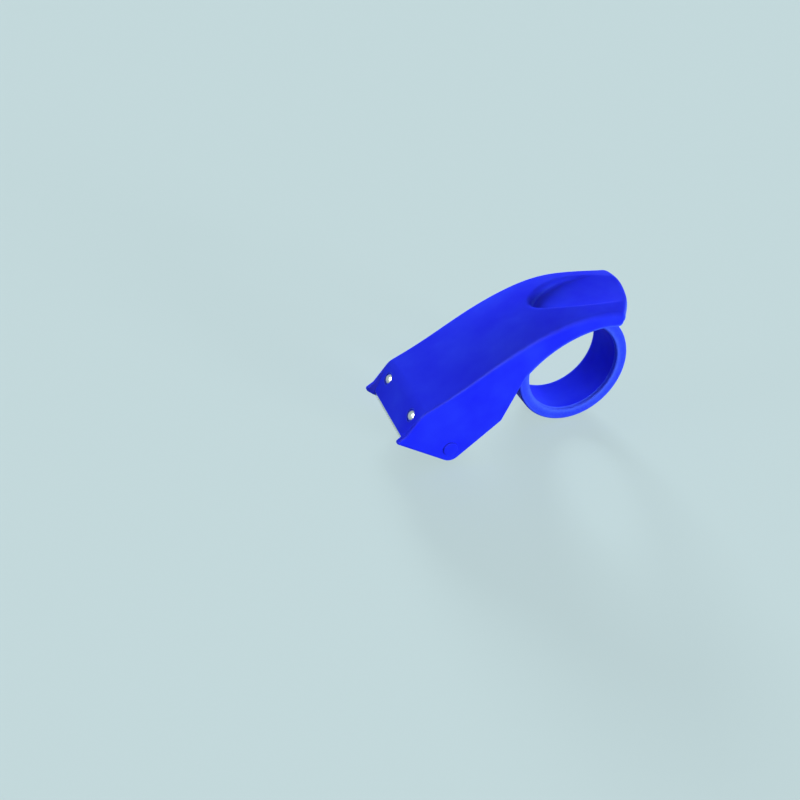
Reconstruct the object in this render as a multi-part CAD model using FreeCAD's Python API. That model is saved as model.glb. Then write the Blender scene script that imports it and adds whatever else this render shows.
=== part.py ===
import FreeCAD, Part
import math
import os

# Hand-held packing tape dispenser. Millimetres, +Z up, nose towards -X.
# The origin is on the axis of the tape hub, halfway across the body.
# The open side, where a roll goes on, faces -Y; the hub is carried on +Y.

# Body: the line where the web folds into the cheeks, in the side view (x, z)
body_width = 60.0
wall = 2.5
web_drop = 2.9
crown_front = 0.2
crown_rear = 3.0
crown_full_x = -50.0
fold_round_front = 1.2
fold_round_rear = 5.0
fold_line = [(-130.0, -11.0), (-110.6, -1.5), (-90.0, 10.9), (-67.0, 26.8), (-45.6, 39.5),
             (-20.0, 49.2), (7.0, 51.3), (40.0, 51.3)]

# Cheeks: corners of the side outline and the lower edge of the rear skirt
ear_tip = (-123.4, -17.9)
ear_height = 1.4
ear_round = 0.7
ear_neck = (-119.0, -14.5)
ear_neck_round = 3.0
belly_corner = (-89.0, -37.4)
belly_round = 7.0
heel_corner = (-60.6, -12.1)
heel_round = 4.0
throat_corner = (-49.6, 16.0)
skirt_arc_middle = (-28.6, 35.2)
skirt_arc_end = (-3.7, 43.9)
skirt_corner_round = 3.0

# Rear edge of the web: how far it reaches, at even steps from the open side to the hub side
rear_reach = [7.4, 16.2, 22.6, 27.2, 30.0, 30.6]
rear_corner_round = 5.5

# Nose facet between the ears, from its front edge up to the fold line
facet_front = (-119.0, -19.0)
facet_crease = (-110.5, -1.8)
ear_width = 4.85
crease_margin = 0.8
ear_draft = 0.5
crease_round = 12.0
crease_reach = 3.4
crease_fade = 4.0
nose_wall = 2.5
ear_pad_depth = 9.0
ear_pad_height = 8.0

# Palm groove in the top of the web
groove_middle_x = -5.0
groove_length = 36.3
groove_half_width = 14.9
groove_draft = 0.8
groove_floor_line = [(-60.0, 24.5), (-33.0, 42.6), (-20.0, 47.3), (0.0, 50.9), (40.0, 53.6)]
groove_floor_hollow = 3.8
groove_floor_round = 3.0
groove_rim_round = 3.0
groove_rim_height = 50.0
groove_reach_down = 18.0
groove_reach_up = 22.0

# Tape hub
hub_radius = 37.5
hub_wall = 5.5
hub_length = 32.5
hub_shoulder = 1.5
hub_lip_height = 1.7
hub_lip_thickness = 3.0
hub_rim_round = 1.2
hub_lip_round = 1.2

# Hub side panel, its lap behind the skirt, and its screws
part_line_gap = 0.15
panel_rear_x = 27.0
panel_foot = (-61.0, -12.8)
lap_thickness = 2.4
lap_reach = 3.6
lap_root = 4.5
lug_radius = 5.0
lug_neck = 16.5
screw_places = [(-64.5, -2.5), (-58.0, 11.5), (-49.5, 25.5)]
screw_shank_radius = 1.3
screw_head_radius = 2.8
screw_sink_depth = 1.4
screw_below_face = 0.2
screw_length = 8.5
screw_boss_radius = 3.2
screw_boss_height = 4.5
drive_recess_depth = 0.8
drive_recess_width = 0.9
drive_recess_length = 3.2

# Cutting blade and its rivets
blade_thickness = 0.6
blade_side_gap = 0.35
blade_reach = 2.3
blade_height = 19.0
tooth_pitch = 2.0
tooth_depth = 1.2
blade_seat_depth = 1.2
rivet_from_ear = 5.45
rivet_from_edge = 12.9
rivet_shank_radius = 1.5
rivet_head_radius = 2.9
rivet_head_height = 1.5
rivet_sink_depth = 0.5
rivet_sink_gap = 0.8
rivet_tail_radius = 2.4
rivet_tail_height = 0.8
rivet_tail_round = 0.4
washer_radius = 3.6
washer_thickness = 0.5
hole_clearance = 0.05

# Front roller
roller_axis = (-90.8, -27.0)
roller_radius = 10.0
sleeve_thickness = 2.8
sleeve_set_back = 0.3
sleeve_chamfer = 0.4
core_wall = 2.2
roller_end_gap = 0.3
roller_boss_radius = 5.5
roller_boss_height = 1.5
bush_flange_thickness = 1.0
bush_flange_radius = 6.4
bush_spigot_length = 6.0
axle_radius = 2.0
axle_chamfer = 0.25
running_clearance = 0.05
cap_radius = 4.3
cap_height = 0.9
cap_spigot_radius = 3.0
cap_edge_round = 0.4
cap_web = 0.9

# Guide roller
guide_axis = (-74.5, -16.5)
guide_radius = 4.5
guide_wall = 1.4
guide_axle_radius = 1.5
guide_boss_radius = 3.4
guide_boss_height = 1.8
guide_socket_depth = 2.8
guide_end_gap = 0.3
guide_flange_radius = 3.8
guide_flange_thickness = 0.6
guide_spigot_length = 4.0

# Ribs across the underside of the web
rib_thickness = 1.6
rib_depth = 4.0
rib_places = [-101.0, -84.0, -66.0]

# Sizes that follow from the ones above
half_width = body_width / 2.0
inner_half_width = half_width - wall
hub_open_y = half_width - hub_length
hub_bore_radius = hub_radius - hub_wall
hub_lip_radius = hub_bore_radius - hub_lip_height
hub_root_radius = hub_radius + hub_shoulder
facet_front_half = half_width - ear_width
facet_crease_half = half_width - crease_margin
rivet_y = facet_front_half - rivet_from_ear
lap_outer_y = inner_half_width - part_line_gap
lap_inner_y = lap_outer_y - lap_thickness
far_out = 120.0
overlap = 0.5
sheet_stations = 14
touching = 0.01

V = FreeCAD.Vector
Y_AXIS = V(0, 1, 0)


def at(place, y=0.0):
    """The side-view point (x, z) at the depth y."""
    return V(place[0], y, place[1])


def line(a, b):
    return Part.LineSegment(a, b).toShape()


def polygon(points):
    """Edges of the closed polygon through points."""
    return [line(a, b) for a, b in zip(points, points[1:] + points[:1])]


def prism(edges, travel):
    """The closed outline of edges, extruded by travel."""
    return Part.Face(Part.Wire(edges)).extrude(travel)


def side_prism(places, y0, y1):
    """A closed side-view polygon, extruded from y0 to y1."""
    return prism(polygon([at(place, y0) for place in places]), V(0, y1 - y0, 0))


def bar(place, radius, y0, y1):
    """A round bar along Y, centred on the side-view point place."""
    return Part.makeCylinder(radius, abs(y1 - y0), at(place, min(y0, y1)), Y_AXIS)


def round_edges(solid):
    """The full circles among the edges of a solid."""
    return [edge for edge in solid.Edges if len(edge.Vertexes) == 1]


def lies_on(edge, shell):
    """Whether the middle half of an edge lies on a shell."""
    span = edge.LastParameter - edge.FirstParameter
    points = [edge.valueAt(edge.FirstParameter + span * share) for share in (0.25, 0.5, 0.75)]
    return all(Part.Vertex(point).distToShape(shell)[0] < touching for point in points)


def both_sides(solid):
    """A solid and its mirror image across the middle of the body."""
    return [solid, solid.mirror(V(0, 0, 0), Y_AXIS)]


def rounded_path(corners, y):
    """Lines through (place, radius) corners at depth y, with a tangent arc at each inner corner."""
    edges = []
    start = at(corners[0][0], y)
    for before, here, after in zip(corners[:-2], corners[1:-1], corners[2:]):
        corner = at(here[0], y)
        back = (at(before[0], y) - corner).normalize()
        onward = (at(after[0], y) - corner).normalize()
        half = back.getAngle(onward) / 2.0
        set_back = here[1] / math.tan(half)
        first = corner + back * set_back
        last = corner + onward * set_back
        top = corner + (back + onward).normalize() * (here[1] / math.sin(half) - here[1])
        edges.append(line(start, first))
        edges.append(Part.Arc(first, top, last).toShape())
        start = last
    edges.append(line(start, at(corners[-1][0], y)))
    return edges


def side_curve(places):
    """A smooth curve through side-view places."""
    curve = Part.BSplineCurve()
    curve.interpolate([at(place) for place in places])
    return curve


def height_on(curve, x):
    """Height of a side-view curve at x."""
    return curve.intersect(Part.LineSegment(V(x, 0, -far_out), V(x, 0, far_out)))[0].Z


def crown_at(x):
    """Rise of the web's crown: nearly flat at the nose, full from the grip to the rear."""
    share = (x - facet_crease[0]) / (crown_full_x - facet_crease[0])
    share = min(max(share, 0.0), 1.0)
    return crown_front + (crown_rear - crown_front) * share * share * (3.0 - 2.0 * share)


def sheet_block(curve, lift_at, rise_at, travel):
    """All that lies above or below a sheet whose cross-section is an arc.

    Its middle lies lift_at(x) above the curve, and at the body's half width it is rise_at(x) lower.
    """
    half = half_width + rear_corner_round
    first = curve.StartPoint.x + overlap
    step = (curve.EndPoint.x - overlap - first) / sheet_stations
    arcs = []
    for index in range(sheet_stations + 1):
        x = first + step * index
        rise = rise_at(x)
        radius = (half_width ** 2 + rise ** 2) / (2.0 * abs(rise))
        drop = math.copysign(radius - math.sqrt(radius ** 2 - half ** 2), rise)
        top = height_on(curve, x) + lift_at(x)
        arc = Part.Arc(V(x, -half, top - drop), V(x, 0, top), V(x, half, top - drop))
        arcs.append(Part.Wire([arc.toShape()]))
    sheet = Part.makeLoft(arcs, False, False).Faces[0]
    return sheet.extrude(V(0, 0, travel))


def under_web(curve, depth):
    """All that lies more than depth below the top of the web."""
    return sheet_block(curve, lambda x: crown_at(x) - depth, crown_at, -2 * far_out)


def facet_frame():
    """Front edge point, direction up the facet, outward normal and length of the nose facet."""
    front = at(facet_front)
    slope = at(facet_crease) - front
    length = slope.Length
    up = slope.normalize()
    return front, up, V(-up.z, 0, up.x), length


def on_facet(along, out, y=0.0):
    """A point given by its distance up the nose facet, out of it, and across the body."""
    front, up, normal, _ = facet_frame()
    return front + up * along + normal * out + V(0, y, 0)


def facet_box(along, out, across):
    """A box square to the nose facet, from three (low, high) ranges."""
    corners = [on_facet(a, o, across[0]) for a, o in
               ((along[0], out[0]), (along[1], out[0]), (along[1], out[1]), (along[0], out[1]))]
    return prism(polygon(corners), V(0, across[1] - across[0], 0))


def facet_peg(radius, y, low, high):
    """A round peg square to the nose facet at the rivet line."""
    _, _, normal, _ = facet_frame()
    return Part.makeCylinder(radius, high - low, on_facet(rivet_from_edge, low, y), normal)


def cheek_edges(y):
    """Side outline of the cheeks, carried up past the web."""
    slope = at(facet_crease) - at(ear_neck)
    top = at(ear_neck) + slope * (far_out / slope.z)
    ear_foot = (ear_tip[0], ear_tip[1] - ear_height)
    skirt = Part.Arc(at(skirt_arc_end, y), at(skirt_arc_middle, y), at(throat_corner, y)).toShape()
    front = rounded_path([(throat_corner, 0), (heel_corner, heel_round), (belly_corner, belly_round),
                          (ear_foot, ear_round), (ear_tip, ear_round), (ear_neck, ear_neck_round),
                          ((top.x, top.z), 0)], y)
    rear_top = V(far_out, y, top.z)
    rear_foot = V(far_out, y, skirt_arc_end[1])
    closing = [line(V(top.x, y, top.z), rear_top), line(rear_top, rear_foot),
               line(rear_foot, at(skirt_arc_end, y))]
    return [skirt] + front + closing


def plan_block():
    """All that lies ahead of the rear edge of the web, seen from above."""
    count = len(rear_reach)
    points = [V(x, -half_width + body_width * index / (count - 1), -far_out)
              for index, x in enumerate(rear_reach)]
    rear = Part.BSplineCurve()
    rear.interpolate(points)
    far_front = V(-2 * far_out, half_width, -far_out)
    near_front = V(-2 * far_out, -half_width, -far_out)
    edges = [rear.toShape(), line(points[-1], far_front), line(far_front, near_front),
             line(near_front, points[0])]
    block = prism(edges, V(0, 0, 2 * far_out))
    corner = [edge for edge in block.Edges
              if all((v.Point - points[-1]).cross(V(0, 0, 1)).Length < touching for v in edge.Vertexes)]
    return block.makeFillet(rear_corner_round, corner)


def round_crease(solid):
    """The crease across the nose rounded, so that the ears run on into the folds without a corner."""
    crease = [edge for edge in solid.Edges
              if abs(edge.BoundBox.YLength - body_width) < touching
              and (edge.BoundBox.Center - at(facet_crease)).Length < wall]
    return solid.makeFillet(crease_round, crease)


def round_folds(solid, curve):
    """The two long fold edges rounded, sharper at the nose and softer at the rear.

    The rounding runs on round the ears and along the lower edges of the cheeks.
    """
    for edge in list(solid.Edges):
        middle = edge.valueAt((edge.FirstParameter + edge.LastParameter) / 2.0)
        on_side = abs(abs(middle.y) - half_width) < touching
        if edge.Length < half_width or not on_side:
            continue
        if abs(middle.z - height_on(curve, middle.x)) > 2.0 * overlap:
            continue
        starts_at_nose = edge.Vertexes[0].Point.x < edge.Vertexes[-1].Point.x
        first, last = fold_round_front, fold_round_rear
        if not starts_at_nose:
            first, last = last, first
        solid = solid.makeFillet(first, last, [edge])
    return solid


def groove_tool(grow):
    """The palm groove as a solid: a drafted boat-shaped pocket down to a hollow floor."""
    rims = []
    for rise in (-groove_reach_down, groove_reach_up):
        spread = grow + rise * groove_draft
        ellipse = Part.Ellipse(V(groove_middle_x, 0, groove_rim_height + rise),
                               groove_length + spread, groove_half_width + spread)
        front = Part.Arc(ellipse, math.pi / 2.0, 3.0 * math.pi / 2.0).toShape()
        left = front.valueAt(front.FirstParameter)
        right = front.valueAt(front.LastParameter)
        reach = V(far_out, 0, 0)
        rims.append(Part.Wire([front, line(right, right + reach),
                               line(right + reach, left + reach), line(left + reach, left)]))
    walls = Part.makeLoft(rims, True, True)
    depth = grow * web_drop / wall
    floor = sheet_block(side_curve(groove_floor_line), lambda x: -depth,
                        lambda x: -groove_floor_hollow, far_out)
    pocket = walls.common(floor)
    foot = [edge for edge in pocket.Edges
            if edge.BoundBox.ZMin < groove_rim_height + wall and edge.BoundBox.XLength > groove_half_width]
    return pocket.makeFillet(groove_floor_round, foot)


def cut_groove(solid, web):
    """The palm groove cut into a solid, its rim rounded where it meets the web's top."""
    tool = groove_tool(0.0)
    solid = solid.cut(tool)
    rim = [edge for edge in solid.Edges
           if edge.Length > wall and lies_on(edge, tool.Shells[0]) and lies_on(edge, web.Shells[0])]
    return solid.makeFillet(groove_rim_round, rim)


def cavity(curve):
    """The hollow under the web and between the cheeks."""
    behind_nose = [on_facet(-far_out, -nose_wall), on_facet(far_out, -nose_wall)]
    rear = [V(far_out, 0, far_out), V(far_out, 0, -far_out)]
    places = [(point.x, point.z) for point in behind_nose + rear]
    block = side_prism(places, -inner_half_width, inner_half_width)
    block = block.common(under_web(curve, web_drop))
    block = block.cut(groove_tool(wall))
    pad = facet_box((-far_out, ear_pad_height), (-ear_pad_depth, 0.0),
                    (facet_front_half, half_width))
    return block.cut(both_sides(pad))


def nose_outline(curve, y):
    """Side outline of the air over the nose: up the facet, round the crease and off above the web."""
    x = facet_crease[0] + crease_reach
    leave = V(x, y, height_on(curve, x) + crown_at(x))
    rise = height_on(curve, x + overlap) - height_on(curve, x)
    angle = math.atan2(rise, overlap) + math.radians(crease_fade)
    fade = V(math.cos(angle), 0, math.sin(angle))
    front, up, normal, _ = facet_frame()
    back = (leave - front).dot(normal) / fade.dot(normal)
    corner = leave - fade * back
    radius = back / math.tan(up.getAngle(fade) / 2.0)
    low = on_facet(-far_out, 0.0)
    high = leave + fade * far_out
    path = rounded_path([((low.x, low.z), 0), ((corner.x, corner.z), radius), ((high.x, high.z), 0)], y)
    ahead = V(low.x, y, high.z)
    return path + [line(V(high.x, y, high.z), ahead), line(ahead, V(low.x, y, low.z))]


def between_ears():
    """All that lies between the inner faces of the ears, which lean out and end at the crease."""
    _, _, _, length = facet_frame()
    wires = []
    for out in (-length, length):
        lean = out * ear_draft
        stations = ((-length, facet_front_half + lean), (0.0, facet_front_half + lean),
                    (length, facet_crease_half + lean), (2.0 * length, facet_crease_half + lean))
        right = [on_facet(along, out, half) for along, half in stations]
        left = [on_facet(along, out, -half) for along, half in reversed(stations)]
        wires.append(Part.Wire(polygon(right + left)))
    return Part.makeLoft(wires, True, True)


def nose_air(curve):
    """What is cut away in front of the facet and below its front edge, between the ears."""
    facet = prism(nose_outline(curve, -far_out), V(0, 2 * far_out, 0)).common(between_ears())
    mouth = facet_box((-far_out, 0.0), (-ear_pad_depth - overlap, far_out),
                      (-facet_front_half, facet_front_half))
    return [facet, mouth]


def blade_holes():
    """The seat of the blade under the nose, and the holes and sinks of the rivets."""
    cuts = [facet_box((-overlap, blade_height), (-nose_wall - overlap, blade_seat_depth - nose_wall),
                      (-facet_front_half, facet_front_half))]
    for y in (-rivet_y, rivet_y):
        cuts.append(facet_peg(rivet_shank_radius + hole_clearance, y, -nose_wall - overlap, overlap))
        cuts.append(facet_peg(rivet_head_radius + rivet_sink_gap, y, -rivet_sink_depth, overlap))
    return cuts


def web_ribs(curve):
    """Cross ribs under the web, from cheek to cheek."""
    under = under_web(curve, web_drop / 2.0)
    width = inner_half_width + overlap
    ribs = []
    for x in rib_places:
        low = height_on(curve, x) - web_drop - rib_depth
        box = Part.makeBox(rib_thickness, 2 * width, far_out, V(x - rib_thickness / 2.0, -width, low))
        ribs.append(box.common(under))
    return ribs


def shell_bosses():
    """Round bosses inside the cheeks that carry the two axles."""
    inner = inner_half_width + overlap
    front = bar(roller_axis, roller_boss_radius, inner_half_width - roller_boss_height, inner)
    guide = bar(guide_axis, guide_boss_radius, inner_half_width - guide_boss_height, inner)
    return both_sides(front) + both_sides(guide)


def shell_bores():
    """Axle holes through the cheeks, blind sockets of the guide axle, and the screw holes."""
    cap_bore = bar(roller_axis, cap_spigot_radius + hole_clearance, 0.0, far_out)
    mouth = inner_half_width - guide_boss_height
    socket = bar(guide_axis, guide_axle_radius + hole_clearance, mouth - overlap,
                 mouth + guide_socket_depth)
    bores = both_sides(cap_bore) + both_sides(socket)
    for place in screw_places:
        bores.append(bar(place, screw_shank_radius + hole_clearance, inner_half_width - overlap, far_out))
        bores.append(bar(place, screw_head_radius + running_clearance,
                         half_width - screw_sink_depth, far_out))
    return bores


def skirt_corner():
    """What the round of the open-side skirt takes off its lower rear corner."""
    x = rear_reach[0]
    z = skirt_arc_end[1]
    size = skirt_corner_round
    block = side_prism([(x - size, z - size), (far_out, z - size), (far_out, z + size),
                        (x - size, z + size)], -far_out, -inner_half_width + wall)
    return block.cut(bar((x - size, z + size), size, -far_out, 0.0))


def main_shell():
    """One moulding: nose, crowned web with its palm groove, two cheeks and their rear skirts."""
    curve = side_curve(fold_line)
    web = under_web(curve, 0.0)
    outer = prism(cheek_edges(-half_width), V(0, body_width, 0))
    outer = outer.common(web)
    outer = outer.common(plan_block())
    outer = round_folds(round_crease(outer), curve)
    shell = cut_groove(outer, web).cut(cavity(curve))
    shell = shell.fuse(shell_bosses() + web_ribs(curve))
    shell = shell.cut(nose_air(curve) + blade_holes() + shell_bores() + [skirt_corner()])
    return shell.removeSplitter()


def skirt_circle():
    """Circle that the lower edge of the skirt follows between the throat and the rear."""
    return Part.Circle(at(skirt_arc_end), at(skirt_arc_middle), at(throat_corner))


def skirt_disc(grow, y0, y1):
    """A disc on the skirt's circle, its rim grown outwards by grow."""
    circle = skirt_circle()
    return bar((circle.Center.x, circle.Center.z), circle.Radius + grow, y0, y1)


def touch_root(place, side):
    """Where a line from place touches the round root of the hub, on the side +1 or -1."""
    angle = math.atan2(place[1], place[0]) + side * math.acos(hub_root_radius / math.hypot(*place))
    return hub_root_radius * math.cos(angle), hub_root_radius * math.sin(angle)


def panel_region(y0, y1):
    """The hub side panel seen from the side: tangents from the hub's root to the cheek and the skirt."""
    foot_x = panel_foot[0]
    throat_z = throat_corner[1]
    end_x, end_z = skirt_arc_end
    front = side_prism([touch_root(panel_foot, 1), panel_foot, (foot_x, throat_z),
                        (end_x, throat_z), (0.0, 0.0)], y0, y1)
    above = side_prism([(foot_x, throat_z), (foot_x, far_out), (end_x, far_out), (end_x, 0.0),
                        (foot_x, 0.0)], y0, y1)
    rear_top = (panel_rear_x, end_z + overlap)
    tail = side_prism([(end_x - overlap, 0.0), touch_root(rear_top, -1), rear_top,
                       (end_x - overlap, end_z + overlap)], y0, y1)
    crest = above.common(skirt_disc(overlap, y0, y1))
    return front.fuse([crest, tail, bar((0.0, 0.0), hub_root_radius, y0, y1)])


def lap_region(y0, y1):
    """The lap behind the skirt, with a lug round each screw."""
    end_x, end_z = skirt_arc_end
    band = skirt_disc(lap_reach, y0, y1).cut(skirt_disc(-lap_root, y0, y1))
    window = side_prism([screw_places[0], (panel_foot[0], far_out), (end_x, far_out),
                         (end_x, end_z - lap_root), throat_corner], y0, y1)
    tail = side_prism([(end_x - overlap, end_z - lap_root), (panel_rear_x, end_z - lap_root),
                       (panel_rear_x, end_z + lap_reach), (end_x - overlap, end_z + lap_reach)], y0, y1)
    region = band.common(window).fuse(tail)
    for place in screw_places:
        root = at(place) * ((at(place).Length - lug_neck) / at(place).Length)
        across = V(-place[1], 0, place[0]).normalize() * lug_radius
        corners = [at(place) + across, at(place) - across, root - across, root + across]
        neck = side_prism([(corner.x, corner.z) for corner in corners], y0, y1)
        region = region.fuse([neck, bar(place, lug_radius, y0, y1)])
    return region


def hub_tube():
    """The tape hub: a tube with a rounded rim and an inward lip at its open end."""
    origin = (0.0, 0.0)
    tube = bar(origin, hub_radius, hub_open_y, half_width)
    rim = [edge for edge in tube.Edges if abs(edge.BoundBox.YMax - hub_open_y) < touching]
    tube = tube.makeFillet(hub_rim_round, rim)
    tube = tube.cut(bar(origin, hub_bore_radius, hub_open_y + hub_lip_thickness, far_out))
    tube = tube.cut(bar(origin, hub_lip_radius, -far_out, far_out))
    lip = [edge for edge in tube.Edges
           if abs(edge.BoundBox.YMax - hub_open_y) < touching
           and edge.BoundBox.XMax < hub_lip_radius + touching]
    return tube.makeFillet(hub_lip_round, lip)


def hub_side_panel():
    """Second moulding: the flush side panel, the lap that screws behind the cheek, and the tape hub."""
    skirt_face = Part.Face(Part.Wire(cheek_edges(inner_half_width - overlap)))
    grown = skirt_face.makeOffset2D(part_line_gap).extrude(V(0, far_out, 0))
    panel = panel_region(inner_half_width, half_width).cut(grown)
    lap = lap_region(lap_inner_y, lap_outer_y)
    bridge = lap_region(lap_inner_y, half_width - wall / 2.0).common(
        panel_region(0.0, far_out)).cut(grown)
    bosses = [bar(place, screw_boss_radius, lap_inner_y - screw_boss_height, lap_outer_y)
              for place in screw_places]
    part = panel.fuse([lap, bridge] + bosses)
    part = part.cut(bar((0.0, 0.0), hub_radius - hub_rim_round, -far_out, far_out))
    part = part.fuse(hub_tube())
    pilots = [bar(place, screw_shank_radius + hole_clearance, 0.0, far_out) for place in screw_places]
    return part.cut(pilots).removeSplitter()


def side_panel_screws():
    """Three self-tapping screws through the cheek, heads sunk flush, with a cross recess."""
    screws = []
    head_top = half_width - screw_below_face
    seat = half_width - screw_sink_depth
    for place in screw_places:
        screw = bar(place, screw_head_radius, seat, head_top)
        screw = screw.fuse(bar(place, screw_shank_radius, head_top - screw_length, seat + overlap))
        floor = head_top - drive_recess_depth
        x, z = place
        long_half = drive_recess_length / 2.0
        short_half = drive_recess_width / 2.0
        for dx, dz in ((long_half, short_half), (short_half, long_half)):
            slot = side_prism([(x - dx, z - dz), (x + dx, z - dz), (x + dx, z + dz),
                               (x - dx, z + dz)], floor, half_width)
            screw = screw.cut(slot)
        screws.append(screw)
    return Part.makeCompound(screws)


def blade():
    """Stainless strip under the nose with a row of teeth along its front edge."""
    half = facet_front_half - blade_side_gap
    top = blade_seat_depth - nose_wall
    count = int(2.0 * half / tooth_pitch)
    pitch = 2.0 * half / count
    root = tooth_depth - blade_reach
    rear = blade_height - blade_side_gap
    points = [on_facet(rear, top, half), on_facet(rear, top, -half)]
    for tooth in range(count):
        y = -half + tooth * pitch
        points.append(on_facet(root, top, y))
        points.append(on_facet(-blade_reach, top, y + pitch / 2.0))
    points.append(on_facet(root, top, half))
    _, _, normal, _ = facet_frame()
    plate = prism(polygon(points), normal * -blade_thickness)
    return plate.cut([facet_peg(rivet_shank_radius + hole_clearance, y, -far_out, far_out)
                      for y in (-rivet_y, rivet_y)])


def rivet(y):
    """A round-head rivet through the nose, the blade and a washer."""
    _, _, normal, _ = facet_frame()
    seat = -rivet_sink_depth
    sphere = (rivet_head_radius ** 2 + rivet_head_height ** 2) / (2.0 * rivet_head_height)
    centre = on_facet(rivet_from_edge, seat + rivet_head_height - sphere, y)
    dome = Part.makeSphere(sphere, centre).common(
        facet_peg(rivet_head_radius, y, seat, seat + rivet_head_height + overlap))
    tail_top = blade_seat_depth - nose_wall - blade_thickness - washer_thickness
    tail = facet_peg(rivet_tail_radius, y, tail_top - rivet_tail_height, tail_top)
    tail = tail.makeFillet(rivet_tail_round, [tail.Edges[2]])
    shank = facet_peg(rivet_shank_radius, y, tail_top - rivet_tail_height / 2.0,
                      seat + rivet_head_height / 2.0)
    return dome.fuse([shank, tail]).removeSplitter()


def rivet_washer(y):
    """A plain washer between the blade and the rivet's tail."""
    top = blade_seat_depth - nose_wall - blade_thickness
    disc = facet_peg(washer_radius, y, top - washer_thickness, top)
    return disc.cut(facet_peg(rivet_shank_radius + hole_clearance, y, -far_out, far_out))


def roller_half_length():
    """Half the length of the front roller over its bushes."""
    return inner_half_width - roller_boss_height - roller_end_gap


def core_half_length():
    return roller_half_length() - bush_flange_thickness


def front_roller_sleeve():
    """Rubber sleeve with chamfered ends."""
    half = core_half_length() - sleeve_set_back
    sleeve = bar(roller_axis, roller_radius, -half, half)
    sleeve = sleeve.makeChamfer(sleeve_chamfer, round_edges(sleeve))
    return sleeve.cut(bar(roller_axis, roller_radius - sleeve_thickness, -half, half))


def front_roller_core():
    """Plastic tube inside the sleeve."""
    half = core_half_length()
    outer = roller_radius - sleeve_thickness - hole_clearance
    return bar(roller_axis, outer, -half, half).cut(bar(roller_axis, outer - core_wall, -half, half))


def flanged_bush(place, flange, spigot, bore, face_y, flange_thickness, spigot_length):
    """A bush on the +Y end of a roller: a flange outside and a spigot inside, bored for the axle."""
    flange_start = face_y - flange_thickness
    bush = bar(place, flange, flange_start, face_y)
    bush = bush.fuse(bar(place, spigot, flange_start - spigot_length,
                         flange_start + flange_thickness / 2.0))
    return bush.cut(bar(place, bore, 0.0, far_out))


def front_roller_bush():
    spigot = roller_radius - sleeve_thickness - core_wall - 2.0 * hole_clearance
    return flanged_bush(roller_axis, bush_flange_radius, spigot, axle_radius + running_clearance,
                        roller_half_length(), bush_flange_thickness, bush_spigot_length)


def front_axle():
    """Steel pin held in the two caps."""
    half = half_width + cap_height - cap_web - hole_clearance
    pin = bar(roller_axis, axle_radius, -half, half)
    return pin.makeChamfer(axle_chamfer, round_edges(pin))


def front_axle_cap():
    """Round cap on the +Y cheek: a low disc outside and a bored spigot in the cheek."""
    outer = half_width + cap_height
    disc = bar(roller_axis, cap_radius, half_width, outer)
    rim = [edge for edge in disc.Edges if edge.BoundBox.YMin > outer - touching]
    disc = disc.makeFillet(cap_edge_round, rim)
    spigot = bar(roller_axis, cap_spigot_radius, inner_half_width - roller_boss_height, outer - cap_web)
    bore = bar(roller_axis, axle_radius + hole_clearance, 0.0, outer - cap_web)
    return disc.fuse(spigot).cut(bore).removeSplitter()


def guide_half_length():
    return inner_half_width - guide_boss_height - guide_end_gap


def guide_roller():
    """Thin plastic tube that leads the tape off the roll."""
    half = guide_half_length() - guide_flange_thickness
    tube = bar(guide_axis, guide_radius, -half, half)
    return tube.cut(bar(guide_axis, guide_radius - guide_wall, -half, half))


def guide_roller_bush():
    spigot = guide_radius - guide_wall - hole_clearance
    return flanged_bush(guide_axis, guide_flange_radius, spigot, guide_axle_radius + running_clearance,
                        guide_half_length(), guide_flange_thickness, guide_spigot_length)


def guide_axle():
    """Steel pin between the two blind sockets."""
    half = inner_half_width - guide_boss_height + guide_socket_depth - hole_clearance * 2.0
    return bar(guide_axis, guide_axle_radius, -half, half)


def all_parts():
    parts = {
        "main_shell": main_shell(),
        "hub_side_panel": hub_side_panel(),
        "side_panel_screws": side_panel_screws(),
        "blade": blade(),
        "blade_rivet_near": rivet(-rivet_y),
        "blade_rivet_far": rivet(rivet_y),
        "rivet_washer_near": rivet_washer(-rivet_y),
        "rivet_washer_far": rivet_washer(rivet_y),
        "front_roller_sleeve": front_roller_sleeve(),
        "front_roller_core": front_roller_core(),
        "front_axle": front_axle(),
        "guide_roller": guide_roller(),
        "guide_axle": guide_axle(),
    }
    for name, solid in (("front_roller_bush", front_roller_bush()), ("front_axle_cap", front_axle_cap()),
                        ("guide_roller_bush", guide_roller_bush())):
        far_side, near_side = both_sides(solid)
        parts[name + "_far"] = far_side
        parts[name + "_near"] = near_side
    return parts


def main():
    os.makedirs("parts", exist_ok=True)
    for name, shape in all_parts().items():
        shape.exportStep("parts/" + name + ".step")
        box = shape.BoundBox
        print(name, len(shape.Solids), shape.isValid(), round(shape.Volume, 1),
              [round(v, 2) for v in (box.XMin, box.YMin, box.ZMin, box.XMax, box.YMax, box.ZMax)])


main()
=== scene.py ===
"""Finishes, screws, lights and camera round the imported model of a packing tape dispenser."""

import math

import bpy
import numpy as np
from bpy.props import FloatProperty, FloatVectorProperty, IntProperty, PointerProperty
from mathutils import Matrix, Vector


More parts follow.
